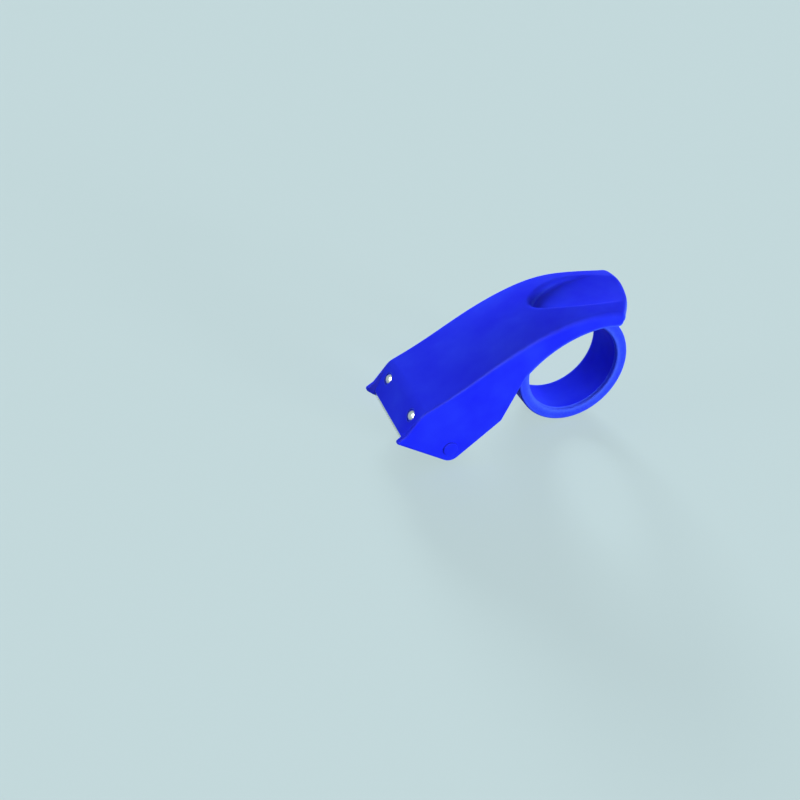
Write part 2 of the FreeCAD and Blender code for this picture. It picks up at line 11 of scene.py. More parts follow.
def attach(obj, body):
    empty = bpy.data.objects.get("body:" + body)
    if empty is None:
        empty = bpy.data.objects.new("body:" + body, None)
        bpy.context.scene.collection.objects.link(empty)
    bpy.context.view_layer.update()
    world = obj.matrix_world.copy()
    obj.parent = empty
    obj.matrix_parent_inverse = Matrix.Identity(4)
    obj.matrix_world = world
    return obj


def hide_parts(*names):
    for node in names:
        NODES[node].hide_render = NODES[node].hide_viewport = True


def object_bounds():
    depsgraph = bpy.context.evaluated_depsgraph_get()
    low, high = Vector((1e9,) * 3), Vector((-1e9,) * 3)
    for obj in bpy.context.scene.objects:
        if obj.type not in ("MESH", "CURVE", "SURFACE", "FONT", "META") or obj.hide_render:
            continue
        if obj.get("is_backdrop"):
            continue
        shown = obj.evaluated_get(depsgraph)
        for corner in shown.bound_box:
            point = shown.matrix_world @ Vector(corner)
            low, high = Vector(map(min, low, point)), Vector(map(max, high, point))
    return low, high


bl_info = {
    "name": "Packing Tape Dispenser",
    "version": (1, 0, 0),
    "blender": (4, 5, 0),
    "location": "3D View > Sidebar > Dispenser",
    "description": "Finishes, screws and stage for a packing tape dispenser",
    "category": "Object",
}

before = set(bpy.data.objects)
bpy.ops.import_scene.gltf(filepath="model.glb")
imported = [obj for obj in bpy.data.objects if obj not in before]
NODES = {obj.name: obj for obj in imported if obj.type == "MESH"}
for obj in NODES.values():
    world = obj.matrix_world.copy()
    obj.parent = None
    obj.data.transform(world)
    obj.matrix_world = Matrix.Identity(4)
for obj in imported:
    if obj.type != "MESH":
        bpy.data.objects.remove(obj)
MM = 0.001

# Cells of the mouldings' patterns in each metre, and heights of their relief
CLOUD_CELLS = 34.0
STREAK_CELLS = 16.0
WEAR_CELLS = 420.0
DUST_CELLS = 105.0
PATCH_CELLS = 75.0
WAVE_CELLS = 120.0
WAVE_HEIGHT = 0.04 * MM
GRAIN_HEIGHT = 0.02 * MM

# The same for the metals, the rubber, the plain plastic and the floor, and the radii of softened edges.
# Where there are three numbers, they are cells in each metre along X, Y and Z.
METAL_EDGE_ROUND = 0.12 * MM
METAL_CLOUD_CELLS = 260.0
ZINC_FLOWER_CELLS = 1500.0
SCRATCH_HEIGHT = 0.012 * MM
RUBBER_RING_CELLS = (60.0, 2600.0, 60.0)
RUBBER_PORE_CELLS = 1800.0
RUBBER_DUST_CELLS = 90.0
RUBBER_RING_HEIGHT = 0.03 * MM
RUBBER_PORE_HEIGHT = 0.02 * MM
PLASTIC_EDGE_ROUND = 0.2 * MM
PLASTIC_CLOUD_CELLS = 60.0
# Reach of the painted highlight along the plain plastic's edges
PLASTIC_RIDGE = 0.6 * MM
PLASTIC_RING_CELLS = (90.0, 2200.0, 90.0)
PLASTIC_RING_HEIGHT = 0.02 * MM
FLOOR_GRAIN_CELLS = 900.0
FLOOR_GRAIN_HEIGHT = 0.03 * MM

GUIDE_AXLE_MIDDLE = (-74.5 * MM, 0.0, -16.5 * MM)

# Ends of the masks that choose a region, as (where the mask is 0, where it is 1)
SOCKET_RADII = (5.0 * MM, 3.5 * MM)
THIN_NOSE_X = (-90.0 * MM, -101.0 * MM)
SIDE_PANEL_Y = (22.5 * MM, 26.5 * MM)
GROOVE_X = (-56.0 * MM, -50.0 * MM)
GROOVE_Y = (26.0 * MM, 21.5 * MM)
GROOVE_Z = (36.0 * MM, 40.0 * MM)

# Where the side panel's screws stand, as (X, Z)
SCREW_PLACES = ((-64.5 * MM, -2.5 * MM), (-58.0 * MM, 11.5 * MM), (-49.5 * MM, 25.5 * MM))

DUST_COLOUR = (0.55, 0.60, 0.85, 1.0)
RUBBER_DUST_COLOUR = (0.12, 0.12, 0.125, 1.0)
SKY_COLOUR = (0.96, 0.98, 1.0, 1.0)


class Finish:
    """A material whose nodes are added and joined by short calls."""

    def __init__(self, name):
        self.material = bpy.data.materials.new(name)
        self.material.use_nodes = True
        self.tree = self.material.node_tree
        self.tree.nodes.clear()
        self.surface = self.add("ShaderNodeBsdfPrincipled")
        output = self.add("ShaderNodeOutputMaterial")
        self.join(self.surface.outputs["BSDF"], output.inputs["Surface"])
        self.place = self.add("ShaderNodeTexCoord").outputs["Object"]

    def add(self, kind, **values):
        """A node, with its own settings and the values of its sockets."""
        node = self.tree.nodes.new(kind)
        for name, value in values.items():
            if hasattr(node, name):
                setattr(node, name, value)
            else:
                self.give(node.inputs[name.replace("_", " ")], value)
        return node

    def join(self, source, target):
        """A link between two sockets."""
        self.tree.links.new(source, target)

    def give(self, socket, value):
        """A link where value is another node's output, and else the socket's own value."""
        if isinstance(value, bpy.types.NodeSocket):
            self.join(value, socket)
        else:
            socket.default_value = value

    def set(self, **values):
        """Sockets of the surface shader."""
        for name, value in values.items():
            self.give(self.surface.inputs[name.replace("_", " ")], value)

    def stretched(self, scale):
        """Object coordinates, scaled differently along the three axes."""
        return self.add("ShaderNodeMapping", Vector=self.place, Scale=scale).outputs["Vector"]

    def noise(self, scale, detail=2.0, roughness=0.5, place=None):
        """Cloud noise with scale cells in each metre."""
        node = self.add("ShaderNodeTexNoise", Vector=place or self.place, Scale=scale, Detail=detail,
                        Roughness=roughness)
        return node.outputs["Fac"]

    def spread(self, value, low, high, to_low=0.0, to_high=1.0):
        """value, taken from low..high to to_low..to_high and held there."""
        node = self.add("ShaderNodeMapRange", Value=value)
        for name, number in (("From Min", low), ("From Max", high), ("To Min", to_low), ("To Max", to_high)):
            node.inputs[name].default_value = number
        return node.outputs["Result"]

    def math(self, operation, a, b):
        """The result of a Math node on two values."""
        node = self.add("ShaderNodeMath", operation=operation)
        self.give(node.inputs[0], a)
        self.give(node.inputs[1], b)
        return node.outputs["Value"]

    def mix(self, share, first, second):
        """A colour between first and second."""
        node = self.add("ShaderNodeMix", data_type="RGBA")
        self.give(node.inputs["Factor"], share)
        self.give(node.inputs["A"], first)
        self.give(node.inputs["B"], second)
        return node.outputs["Result"]

    def bump(self, height, depth, strength=1.0, below=None):
        """Normals raised by height times depth, on top of those below."""
        node = self.add("ShaderNodeBump", Height=height, Distance=depth, Strength=strength)
        if below is not None:
            self.join(below, node.inputs["Normal"])
        return node.outputs["Normal"]

    def soft_edges(self, radius):
        """Normals rounded over the sharp edges."""
        return self.add("ShaderNodeBevel", samples=8, Radius=radius).outputs["Normal"]

    def ridges(self, reach):
        """A mask that rises to 1 where the piece's own faces meet within reach, behind the surface."""
        inside = self.add("ShaderNodeAmbientOcclusion", samples=8, inside=True, only_local=True,
                          Distance=reach)
        return self.spread(inside.outputs["AO"], 0.88, 0.42)

    def corner_shade(self, reach):
        """A mask that rises to 1 in corners and gaps narrower than reach, where shade is painted."""
        outside = self.add("ShaderNodeAmbientOcclusion", samples=8, Distance=reach)
        return self.spread(outside.outputs["AO"], 0.80, 0.20)


def rgba(colour):
    """The colour as red, green, blue and a full alpha."""
    return (*colour, 1.0)


def paint(node, finish):
    """The finish on a CAD node, in place of its plain packed material."""
    mesh = NODES[node].data
    mesh.materials.clear()
    mesh.materials.append(finish.material)


def thin_in_shell(finish, axes):
    """1 where the shell's wall is thin: where the blade is let in, and behind the guide axle's sockets."""
    nose = finish.spread(axes["X"], *THIN_NOSE_X)
    side_view = finish.add("ShaderNodeCombineXYZ", X=axes["X"], Z=axes["Z"]).outputs["Vector"]
    away = finish.add("ShaderNodeVectorMath", operation="DISTANCE")
    finish.join(side_view, away.inputs[0])
    away.inputs[1].default_value = GUIDE_AXLE_MIDDLE
    return finish.math("MAXIMUM", nose, finish.spread(away.outputs["Value"], *SOCKET_RADII))


def thin_in_ring(finish, axes):
    """1 in the flat side panel, and 0 in the thick ring."""
    return finish.spread(axes["Y"], *SIDE_PANEL_Y)


def widened_edges(finish, axes, look, groove_round):
    """Radius of the softened edges: look.edge_round, and groove_round more round the palm groove."""
    inboard = finish.spread(finish.math("ABSOLUTE", axes["Y"], 0.0), *GROOVE_Y)
    on_top = finish.math("MULTIPLY", finish.spread(axes["Z"], *GROOVE_Z),
                         finish.spread(axes["X"], *GROOVE_X))
    widened = finish.math("MULTIPLY", finish.math("MULTIPLY", inboard, on_top), groove_round)
    return finish.math("ADD", widened, look.edge_round)


def moulded_colour(finish, look, ridge_reach):
    """Cloudy blue, paler along the ridges from wear and a painted highlight, and darker in corners and gaps
    from painted shade.
    """
    cloud = finish.spread(finish.noise(CLOUD_CELLS, 3.0, 0.55), 0.32, 0.68)
    streaks = finish.noise(STREAK_CELLS, 2.0, 0.5, finish.stretched((1.0, 3.2, 1.6)))
    colour = finish.mix(finish.math("MULTIPLY", cloud, streaks), rgba(look.deep), rgba(look.light))
    worn = finish.spread(finish.noise(WEAR_CELLS, 4.0, 0.65), 0.25, 0.60, 0.55, 1.0)
    # Paler along the ridges where the faces meet: partly edge wear, partly a painted highlight.
    worn_and_highlit = finish.math("MULTIPLY", finish.ridges(ridge_reach), worn)
    colour = finish.mix(finish.math("MULTIPLY", worn_and_highlit, look.edge_wear_and_highlight), colour, rgba(look.worn_and_highlit))
    # Darker in corners and gaps: painted shade.
    painted_shade = finish.math("MULTIPLY", finish.corner_shade(look.shade_reach), look.painted_shade)
    return finish.mix(painted_shade, colour, rgba(look.shade_blue))


def dust_specks(finish):
    """A mask of sparse round specks: a small disc in the middle of about one Voronoi cell in ten."""
    cells = finish.add("ShaderNodeTexVoronoi", Vector=finish.place, Scale=DUST_CELLS)
    discs = finish.spread(cells.outputs["Distance"], 0.020, 0.012)
    chosen = finish.add("ShaderNodeSeparateColor", Color=cells.outputs["Color"]).outputs["Red"]
    return finish.math("MULTIPLY", discs, finish.spread(chosen, 0.90, 0.905))


def moulded_plastic(name, look, ridge_reach, thin=None, thin_reach=0.0, groove_round=0.0):
    """Moulded plastic: a spark-eroded grain, slow waves, cloudy colour, ridges paler from wear and a painted
    highlight, painted shade in corners and gaps, and dust.

    The mask for the paler ridges has to reach less far than the wall is thick, so its reach falls from
    ridge_reach to thin_reach where thin is 1. The edges are softened by look.edge_round, and by
    groove_round more round the palm groove.
    """
    finish = Finish(name)
    axes = finish.add("ShaderNodeSeparateXYZ", Vector=finish.place).outputs
    if thin:
        ridge_reach = finish.spread(thin(finish, axes), 0.0, 1.0, ridge_reach, thin_reach)
    edge_round = widened_edges(finish, axes, look, groove_round) if groove_round else look.edge_round
    dust = dust_specks(finish)
    colour = moulded_colour(finish, look, ridge_reach)
    finish.set(Base_Color=finish.mix(finish.math("MULTIPLY", dust, 0.7), colour, DUST_COLOUR),
               Specular_IOR_Level=0.10)
    patches = finish.spread(finish.noise(PATCH_CELLS, 3.0, 0.6), 0.3, 0.7,
                            look.roughness - 0.05, look.roughness + 0.07)
    finish.set(Roughness=finish.math("ADD", patches, finish.math("MULTIPLY", dust, 0.3)))
    waves = finish.noise(WAVE_CELLS, 1.0, 0.4)
    normal = finish.bump(waves, WAVE_HEIGHT, 0.5, finish.soft_edges(edge_round))
    grain = finish.noise(look.grain_scale, 3.0, 0.62)
    finish.set(Normal=finish.bump(grain, GRAIN_HEIGHT, look.grain_strength, normal))
    return finish


def drawn_metal(name, colour, roughness, lines, streak=0.10, spangle=0.0):
    """Bare metal: fine drawing lines along one axis, cloudy brightness, and zinc flowers where asked."""
    finish = Finish(name)
    rounded = finish.soft_edges(METAL_EDGE_ROUND)
    scratches = finish.noise(1.0, 4.0, 0.7, finish.stretched(lines))
    cloud = finish.noise(METAL_CLOUD_CELLS, 3.0, 0.6)
    shade = finish.spread(finish.math("ADD", finish.math("MULTIPLY", scratches, 0.5),
                                      finish.math("MULTIPLY", cloud, 0.5)), 0.35, 0.65)
    dark = tuple(value * 0.80 for value in colour)
    shaded = finish.mix(shade, rgba(dark), rgba(colour))
    if spangle:
        flowers = finish.add("ShaderNodeTexVoronoi", Vector=finish.place, Scale=ZINC_FLOWER_CELLS)
        shaded = finish.mix(finish.math("MULTIPLY", flowers.outputs["Color"], spangle), shaded, rgba(dark))
    finish.set(Base_Color=shaded, Metallic=1.0)
    finish.set(Roughness=finish.spread(scratches, 0.3, 0.7, roughness - streak / 2.0, roughness + streak))
    finish.set(Normal=finish.bump(scratches, SCRATCH_HEIGHT, 0.6, rounded))
    return finish


def ground_rubber(name, colour, look):
    """Ground rubber: rings left by the wheel, fine pores and pale dust."""
    finish = Finish(name)
    rings = finish.noise(1.0, 3.0, 0.6, finish.stretched(RUBBER_RING_CELLS))
    pores = finish.noise(RUBBER_PORE_CELLS, 4.0, 0.7)
    dust = finish.spread(finish.noise(RUBBER_DUST_CELLS, 5.0, 0.7), 0.48, 0.72, 0.0, 0.35)
    colour = finish.mix(dust, rgba(colour), RUBBER_DUST_COLOUR)
    roughness = finish.spread(rings, 0.3, 0.7, look.rubber_roughness - 0.08, look.rubber_roughness + 0.1)
    finish.set(Base_Color=colour, Roughness=roughness)
    normal = finish.bump(rings, RUBBER_RING_HEIGHT, 0.7)
    finish.set(Normal=finish.bump(pores, RUBBER_PORE_HEIGHT, 0.6, normal), Specular_IOR_Level=0.35)
    return finish


def plain_plastic(name, colour, roughness, translucent=0.0):
    """Turned or moulded engineering plastic: fine turning rings, faint clouds, softened edges, and edges
    painted paler as a highlight.
    """
    finish = Finish(name)
    rounded = finish.soft_edges(PLASTIC_EDGE_ROUND)
    cloud = finish.spread(finish.noise(PLASTIC_CLOUD_CELLS, 3.0, 0.6), 0.35, 0.65)
    shaded = finish.mix(cloud, rgba(tuple(value * 0.88 for value in colour)), rgba(colour))
    # Paler where the piece's own faces meet: a painted highlight along the edges.
    shaded = finish.mix(finish.math("MULTIPLY", finish.ridges(PLASTIC_RIDGE), 0.25), shaded,
                        rgba(tuple(min(1.0, value * 1.25 + 0.02) for value in colour)))
    rings = finish.noise(1.0, 3.0, 0.6, finish.stretched(PLASTIC_RING_CELLS))
    finish.set(Base_Color=shaded)
    finish.set(Roughness=finish.spread(rings, 0.3, 0.7, roughness - 0.05, roughness + 0.08))
    finish.set(Normal=finish.bump(rings, PLASTIC_RING_HEIGHT, 0.5, rounded))
    if translucent:
        finish.set(Subsurface_Weight=translucent, Subsurface_Radius=(2.0 * MM, 1.8 * MM, 1.5 * MM),
                   Subsurface_Scale=1.0)
    return finish


def seen_directly(tree):
    """1 for a ray from the camera, out of a reflection or through glass, and 0 for light on its way."""
    rays = tree.nodes.new("ShaderNodeLightPath").outputs
    seen = rays["Is Camera Ray"]
    for name in ("Is Glossy Ray", "Is Transmission Ray"):
        either = tree.nodes.new("ShaderNodeMath")
        either.operation = "MAXIMUM"
        tree.links.new(seen, either.inputs[0])
        tree.links.new(rays[name], either.inputs[1])
        seen = either.outputs["Value"]
    return seen


def ring_faces(rows, columns):
    """Quads of a grid of points, rows by columns, its last column joined to the first."""
    row, column = np.meshgrid(np.arange(rows - 1), np.arange(columns), indexing="ij")
    onward = (column + 1) % columns
    first = row * columns
    quads = np.stack([first + column, first + onward,
                      first + columns + onward, first + columns + column], -1)
    return quads.reshape(-1, 4)


def mesh_piece(name, points, faces, body, finish, smooth_angle=math.radians(35.0)):
    """A piece from points and from faces that turn outwards, riding on a body."""
    mesh = bpy.data.meshes.new(name)
    mesh.from_pydata(points, [], faces)
    mesh.materials.append(finish.material)
    mesh.update()
    piece = bpy.data.objects.new(name, mesh)
    bpy.context.scene.collection.objects.link(piece)
    mesh.shade_smooth()
    mesh.set_sharp_from_angle(angle=smooth_angle)
    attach(piece, body)
    return piece


def smooth_step(low, high, value):
    """0 below low, 1 above high, and an S-curve between."""
    share = np.clip((value - low) / (high - low), 0.0, 1.0)
    return share * share * (3.0 - 2.0 * share)


def head_rings(angles, sizes):
    """Radius and height of the rings of points on a screw's head, from its middle to its underside.

    The top is a low dome less the cross recess, whose depth falls off towards the ends and the flanks of
    its wings. The rim is rounded.
    """
    head, top_y, under_y = sizes.screw_head_radius, sizes.screw_top, sizes.screw_seat
    inmost, dome_edge = 0.0004, 0.93
    cap = np.linspace(inmost, dome_edge, sizes.screw_head_rows)[:, None] * head
    radius_top = np.broadcast_to(cap, (cap.shape[0], angles.shape[1]))
    along_x, along_z = radius_top * np.cos(angles), radius_top * np.sin(angles)
    wing_long = np.maximum(abs(along_x), abs(along_z))
    wing_short = np.minimum(abs(along_x), abs(along_z))
    reach, half_width = head * 0.60, head * 0.17
    recess = (1.0 - smooth_step(half_width * 0.72, half_width * 1.15, wing_short)) \
        * (1.0 - smooth_step(reach * 0.55, reach * 1.05, wing_long))
    dome = -0.06 * head * (radius_top / head) ** 2
    height_top = top_y + dome - sizes.screw_recess_depth * recess

    rim_radius = head * np.array([0.965, 0.988, 1.0, 1.0, 0.985, 0.96])[:, None]
    rim_height = np.array([top_y - 0.062 * head, top_y - 0.085 * head, top_y - 0.13 * head,
                           under_y + 0.04 * head, under_y + 0.01 * head, under_y])[:, None]
    all_round = np.ones_like(angles)
    return np.vstack([radius_top, rim_radius * all_round]), np.vstack([height_top, rim_height * all_round])


def shank_rings(angles, sizes):
    """Radius and height of the rings of points on a screw's shank, from the head to the tip.

    The radius rises and falls between core and crest once in each turn of a helix, and it shrinks to a
    point at the tip.
    """
    shank, length = sizes.screw_shank_radius, sizes.screw_length
    down = np.linspace(0.0, 1.0, sizes.screw_shank_rows)[:, None]
    turn = np.mod(down * length / sizes.thread_pitch + angles / (2.0 * np.pi), 1.0)
    flank = 1.0 - abs(2.0 * turn - 1.0)
    crest = smooth_step(0.35, 0.95, flank)
    run_in = smooth_step(0.02, 0.10, down)
    core = shank * 0.76
    taper = 1.0 - smooth_step(0.82, 1.0, down) * 0.97
    radius = (core + (shank - core) * crest * run_in) * taper
    height = sizes.screw_seat - down * length
    return radius, height * np.ones_like(angles)


def screw_surface(x, z, sizes):
    """One self-tapping screw: its points, its quads, and the triangles that close its two ends.

    The rings of the head and then of the shank are turned about an axis along Y, which stands at x and z.
    """
    angles = np.linspace(0.0, 2.0 * np.pi, sizes.screw_columns, endpoint=False)[None, :]
    head_radius, head_height = head_rings(angles, sizes)
    shank_radius, shank_height = shank_rings(angles, sizes)
    radius = np.vstack([head_radius, shank_radius])
    height = np.vstack([head_height, shank_height])
    points = np.stack([x + radius * np.cos(angles), height, z + radius * np.sin(angles)], -1)
    rows, columns = points.shape[:2]
    flat = points.reshape(-1, 3)
    top_centre, tip_centre = len(flat), len(flat) + 1
    column = np.arange(columns)
    onward = (column + 1) % columns
    last = len(flat) - columns
    triangles = np.vstack([np.stack([np.full(columns, top_centre), onward, column], -1),
                           np.stack([np.full(columns, tip_centre), last + column, last + onward], -1)])
    flat = np.vstack([flat, flat[:columns].mean(0), flat[-columns:].mean(0)])
    return flat, ring_faces(rows, columns), triangles


class BodyLook(bpy.types.PropertyGroup):
    """Colour and surface of the moulded body."""

    light: FloatVectorProperty(name="Light Blue", description="Blue of the lighter clouds in the moulding",
                               subtype="COLOR", size=3, min=0.0, max=1.0, default=(0.022, 0.056, 0.94))
    deep: FloatVectorProperty(name="Deep Blue", description="Blue of the deeper clouds in the moulding",
                              subtype="COLOR", size=3, min=0.0, max=1.0, default=(0.008, 0.016, 0.84))
    # Paler blue along the edges: partly wear, partly a painted highlight.
    worn_and_highlit: FloatVectorProperty(name="Rubbed Blue", description="Paler blue where edges are rubbed",
                                subtype="COLOR", size=3, min=0.0, max=1.0, default=(0.085, 0.19, 0.98))
    # The next three set the painted shade in corners and gaps: its dark blue, its share and its reach.
    shade_blue: FloatVectorProperty(name="Shadowy Blue", description="Dark blue of the grime in corners and gaps",
                               subtype="COLOR", size=3, min=0.0, max=1.0, default=(0.006, 0.006, 0.10))
    painted_shade: FloatProperty(name="Shading", description="Share of the grime in the narrowest gaps",
                         subtype="FACTOR", min=0.0, max=1.0, default=0.85)
    shade_reach: FloatProperty(name="Grime Reach", description="Width of the gaps that gather grime",
                               subtype="DISTANCE", unit="LENGTH", min=0.0, max=10.0 * MM, default=2.0 * MM)
    roughness: FloatProperty(name="Roughness", description="Mean roughness of the moulded face",
                             subtype="FACTOR", min=0.0, max=1.0, default=0.60)
    grain_scale: FloatProperty(name="Grain Scale", description="Cells of the eroded grain in each metre",
                               min=100.0, max=8000.0, default=2400.0)
    grain_strength: FloatProperty(name="Grain Strength", description="Strength of the eroded grain",
                                  subtype="FACTOR", min=0.0, max=1.0, default=0.35)
    edge_round: FloatProperty(name="Edge Round", description="Radius that softens the sharp edges",
                              subtype="DISTANCE", unit="LENGTH", min=0.0, max=2.0 * MM, default=0.5 * MM)
    groove_round: FloatProperty(name="Groove Round",
                                description="Radius added round the palm groove's rims",
                                subtype="DISTANCE", unit="LENGTH", min=0.0, max=3.0 * MM, default=1.9 * MM)
    # Share of the paler edges, which are partly wear and partly a painted highlight.
    edge_wear_and_highlight: FloatProperty(name="Edge Wear", description="Share of the rubbed colour along the edges",
                             subtype="FACTOR", min=0.0, max=1.0, default=0.75)
    # Widths of the paler edges, partly wear and partly a painted highlight, on each piece.
    shell_ridge: FloatProperty(name="Shell Ridges",
                               description="Width of the rubbed edges of the thin shell",
                               subtype="DISTANCE", unit="LENGTH", min=0.0, max=10.0 * MM, default=2.2 * MM)
    nose_ridge: FloatProperty(name="Nose Ridges",
                              description="Width of the rubbed edges where the blade is let in",
                              subtype="DISTANCE", unit="LENGTH", min=0.0, max=10.0 * MM, default=0.8 * MM)
    cap_ridge: FloatProperty(name="Cap Ridges", description="Width of the rubbed edges of the axle caps",
                             subtype="DISTANCE", unit="LENGTH", min=0.0, max=10.0 * MM, default=0.5 * MM)
    panel_ridge: FloatProperty(name="Panel Ridges",
                               description="Width of the rubbed edges of the flat side panel",
                               subtype="DISTANCE", unit="LENGTH", min=0.0, max=10.0 * MM, default=1.9 * MM)
    ring_ridge: FloatProperty(name="Ring Ridges", description="Width of the rubbed edges of the thick ring",
                              subtype="DISTANCE", unit="LENGTH", min=0.0, max=10.0 * MM, default=5.0 * MM)


class MetalLook(bpy.types.PropertyGroup):
    """Colours of the blade, rivets, screws and axles."""

    blade: FloatVectorProperty(name="Blade", description="Colour of the stainless strip",
                               subtype="COLOR", size=3, min=0.0, max=1.0, default=(0.72, 0.74, 0.72))
    rivet: FloatVectorProperty(name="Rivets", description="Colour of the bright plating",
                               subtype="COLOR", size=3, min=0.0, max=1.0, default=(0.64, 0.66, 0.65))
    zinc: FloatVectorProperty(name="Zinc", description="Colour of the screws and washers",
                              subtype="COLOR", size=3, min=0.0, max=1.0, default=(0.56, 0.58, 0.60))
    axle: FloatVectorProperty(name="Axles", description="Colour of the drawn steel",
                              subtype="COLOR", size=3, min=0.0, max=1.0, default=(0.60, 0.61, 0.62))


class RollerLook(bpy.types.PropertyGroup):
    """Colours and surface of the two rollers."""

    rubber: FloatVectorProperty(name="Rubber", description="Colour of the pressing roller's sleeve",
                                subtype="COLOR", size=3, min=0.0, max=1.0, default=(0.022, 0.022, 0.024))
    rubber_roughness: FloatProperty(name="Rubber Roughness", description="Mean roughness of the rubber",
                                    subtype="FACTOR", min=0.0, max=1.0, default=0.72)
    core: FloatVectorProperty(name="Core", description="Colour of the roller core and the guide roller",
                              subtype="COLOR", size=3, min=0.0, max=1.0, default=(0.74, 0.74, 0.70))
    bush: FloatVectorProperty(name="Bushes", description="Colour of the flanged bushes",
                              subtype="COLOR", size=3, min=0.0, max=1.0, default=(0.030, 0.030, 0.034))


class ScrewSizes(bpy.types.PropertyGroup):
    """Sizes of the side panel's screws."""

    screw_head_radius: FloatProperty(name="Head Radius", description="Radius of the screw heads",
                                     unit="LENGTH", min=1.0 * MM, max=10.0 * MM, default=2.8 * MM)
    screw_top: FloatProperty(name="Head Top", description="Place of the heads' tops across the body",
                             unit="LENGTH", default=29.8 * MM)
    screw_seat: FloatProperty(name="Head Seat",
                              description="Place of the heads' undersides across the body",
                              unit="LENGTH", default=28.6 * MM)
    screw_recess_depth: FloatProperty(name="Recess Depth", description="Depth of the cross recess",
                                      unit="LENGTH", min=0.0, max=2.0 * MM, default=0.85 * MM)
    screw_shank_radius: FloatProperty(name="Thread Radius", description="Outside radius of the thread",
                                      unit="LENGTH", min=0.5 * MM, max=5.0 * MM, default=1.3 * MM)
    screw_length: FloatProperty(name="Shank Length", description="Length under the head",
                                unit="LENGTH", min=2.0 * MM, max=50.0 * MM, default=7.3 * MM)
    thread_pitch: FloatProperty(name="Thread Pitch", description="Rise of the thread in each turn",
                                unit="LENGTH", min=0.3 * MM, max=5.0 * MM, default=1.1 * MM)
    screw_columns: IntProperty(name="Columns",
                               description="Points round each screw", min=24, max=256, default=96)
    screw_head_rows: IntProperty(name="Head Rows", description="Rings of points on each head",
                                 min=8, max=120, default=34)
    screw_shank_rows: IntProperty(name="Shank Rows", description="Rings of points down each shank",
                                  min=24, max=600, default=150)


class StageLook(bpy.types.PropertyGroup):
    """Floor, lamps and camera."""

    floor: FloatVectorProperty(name="Floor", description="Colour of the floor and of what lies beyond it",
                               subtype="COLOR", size=3, min=0.0, max=1.0, default=(0.555, 0.70, 0.72))
    front_level: FloatProperty(name="Front Lamp",
                               description="Light of the front lamp on a face turned to it",
                               min=0.0, max=10.0, default=1.32)
    back_level: FloatProperty(name="Back Lamp", description="Light of the back lamp on a face turned to it",
                              min=0.0, max=10.0, default=1.60)
    side_level: FloatProperty(name="Side Lamp", description="Light of the side lamp on a face turned to it",
                              min=0.0, max=10.0, default=0.48)
    shine_level: FloatProperty(name="Shine Lamp",
                               description="Strength of the lamp that only shines on round edges",
                               min=0.0, max=10.0, default=2.1)
    sky: FloatProperty(name="Sky", description="Strength of the even light", min=0.0, max=2.0, default=0.26)
    shadow: FloatProperty(name="Shadow",
                          description="Share of the floor's look that comes from the light on it",
                          subtype="FACTOR", min=0.0, max=1.0, default=0.18)
    lens: FloatProperty(name="Lens", description="Focal length on a 36 mm sensor",
                        subtype="DISTANCE_CAMERA", min=1.0, default=39.09)


GROUPS = (("dispenser_body", BodyLook), ("dispenser_metal", MetalLook), ("dispenser_roller", RollerLook),
          ("dispenser_screws", ScrewSizes), ("dispenser_stage", StageLook))


class DISPENSER_OT_body(bpy.types.Operator):
    """Gives the two blue mouldings and the axle caps their finish"""

    bl_idname = "dispenser.finish_body"
    bl_label = "Finish Body"

    def execute(self, context):
        look = context.scene.dispenser_body
        paint("main_shell", moulded_plastic("blue_shell_finish", look, look.shell_ridge, thin_in_shell,
                                            look.nose_ridge, look.groove_round))
        paint("hub_side_panel", moulded_plastic("blue_ring_finish", look, look.ring_ridge, thin_in_ring,
                                                look.panel_ridge))
        caps = moulded_plastic("blue_cap_finish", look, look.cap_ridge)
        paint("front_axle_cap_near", caps)
        paint("front_axle_cap_far", caps)
        return {"FINISHED"}


class DISPENSER_OT_blade(bpy.types.Operator):
    """Gives the blade, its rivets and their washers their finish"""

    bl_idname = "dispenser.finish_blade"
    bl_label = "Finish Blade and Rivets"

    def execute(self, context):
        look = context.scene.dispenser_metal
        paint("blade", drawn_metal("rolled_strip_finish", look.blade, 0.30, (2400.0, 50.0, 2400.0)))
        bright = drawn_metal("bright_rivet_finish", look.rivet, 0.32, (900.0, 900.0, 900.0), streak=0.06)
        paint("blade_rivet_near", bright)
        paint("blade_rivet_far", bright)
        zinc = drawn_metal("zinc_washer_finish", look.zinc, 0.38, (700.0, 700.0, 700.0), spangle=0.35)
        paint("rivet_washer_near", zinc)
        paint("rivet_washer_far", zinc)
        return {"FINISHED"}


class DISPENSER_OT_screws(bpy.types.Operator):
    """Builds the side panel's three screws with their recess and thread"""

    bl_idname = "dispenser.build_screws"
    bl_label = "Build Screws"

    def execute(self, context):
        sizes = context.scene.dispenser_screws
        zinc = drawn_metal("zinc_screw_finish", context.scene.dispenser_metal.zinc, 0.34,
                           (600.0, 2500.0, 600.0), spangle=0.30)
        points, faces, start = [], [], 0
        for x, z in SCREW_PLACES:
            flat, quads, triangles = screw_surface(x, z, sizes)
            points.append(flat)
            faces += (quads + start).tolist() + (triangles + start).tolist()
            start += len(flat)
        piece = mesh_piece("side_panel_screw_set", np.vstack(points), faces, "root", zinc)
        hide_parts("side_panel_screws")
        return {"FINISHED"}


class DISPENSER_OT_rollers(bpy.types.Operator):
    """Gives the two rollers, their bushes and axles their finish"""

    bl_idname = "dispenser.finish_rollers"
    bl_label = "Finish Rollers"

    def execute(self, context):
        look = context.scene.dispenser_roller
        paint("front_roller_sleeve", ground_rubber("ground_rubber_finish", look.rubber, look))
        white = plain_plastic("white_roller_finish", look.core, 0.42, translucent=0.12)
        paint("front_roller_core", white)
        paint("guide_roller", white)
        black = plain_plastic("black_bush_finish", look.bush, 0.45)
        for node in ("front_roller_bush_near", "front_roller_bush_far", "guide_roller_bush_near",
                     "guide_roller_bush_far"):
            paint(node, black)
        steel = drawn_metal("drawn_axle_finish", context.scene.dispenser_metal.axle, 0.26,
                            (2000.0, 40.0, 2000.0))
        paint("front_axle", steel)
        paint("guide_axle", steel)
        return {"FINISHED"}


